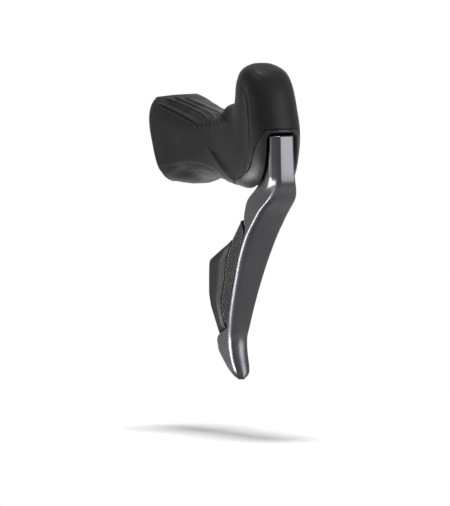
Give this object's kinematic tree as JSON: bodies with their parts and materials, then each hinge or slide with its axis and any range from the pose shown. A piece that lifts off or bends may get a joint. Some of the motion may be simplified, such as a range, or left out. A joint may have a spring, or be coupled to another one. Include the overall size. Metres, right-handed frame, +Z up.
{
  "type": "shift brake lever",
  "caption": "Right hand shift brake lever for a drop bar: rubber hood with a tall horn, dark metal brake blade, two black shift paddles, hydraulic master cylinder.",
  "frame": {"origin": "centre of the handlebar in the clamp", "axes": "+X forward in the riding direction, +Y to the rider's left, +Z up"},
  "size_m": [0.1285, 0.0396, 0.1721],
  "materials": {
    "hood_rubber": "matte ribbed rubber",
    "body_plastic": "glass-filled nylon",
    "lever_metal": "satin dark grey",
    "paddle_plastic": "satin moulded",
    "steel": "plain",
    "dark_steel": "black coated",
    "seal_rubber": "smooth",
    "bush_plastic": "low friction",
    "piston_plastic": "smooth",
    "board": "coated board"
  },
  "bodies": {
    "body": {"bracket_body": "body_plastic", "hood_cover": "hood_rubber", "front_frame": "body_plastic", "clamp_band": "steel", "band_pins": "steel", "clamp_yoke": "dark_steel", "clamp_bolt": "steel", "lever_axle": "steel", "axle_screw": "dark_steel", "reach_screw": "dark_steel", "cylinder_plug": "dark_steel", "bleed_screw": "steel", "hose_nut": "dark_steel", "circuit_board": "board", "board_cover": "body_plastic", "cover_screws": "steel", "port_block": "body_plastic", "port_plugs": "seal_rubber", "piston_spring": "steel"},
    "lever": {"brake_lever": "lever_metal", "axle_bushes": "bush_plastic", "switch_housing": "body_plastic", "housing_screws": "dark_steel", "paddle_pin": "steel", "tact_switches": "steel", "paddle_springs": "steel"},
    "piston": {"push_rod": "steel", "master_piston": "piston_plastic", "primary_seal": "seal_rubber", "secondary_seal": "seal_rubber"},
    "front_paddle": {"front_paddle": "paddle_plastic"},
    "rear_paddle": {"rear_paddle": "paddle_plastic"}
  },
  "joints": [
    {"name": "lever_pivot", "type": "hinge", "parent": "body", "child": "lever", "pos_m": [0.098, 0, 0.0025], "axis": [0, 1, 0], "range_deg": [0, 20], "stiffness_Nm_per_rad": 1, "springref_deg": -17.19},
    {"name": "piston_slide", "type": "slide", "parent": "body", "child": "piston", "axis": [0, 0, 1], "range_m": [0, 0.0049], "deforming": ["piston_spring"]},
    {"name": "front_paddle_hinge", "type": "hinge", "parent": "lever", "child": "front_paddle", "pos_m": [0.069, -0.0032, -0.066], "axis": [-0.342, 0, -0.9397], "range_deg": [0, 4], "stiffness_Nm_per_rad": 0.002, "springref_deg": -5.73},
    {"name": "rear_paddle_hinge", "type": "hinge", "parent": "lever", "child": "rear_paddle", "pos_m": [0.069, -0.0032, -0.066], "axis": [-0.342, 0, -0.9397], "range_deg": [0, 4], "stiffness_Nm_per_rad": 0.002, "springref_deg": -5.73}
  ],
  "couplings": [
    {"joint": "piston_slide", "follows": "lever_pivot", "m_per_rad": 0.014}
  ]
}
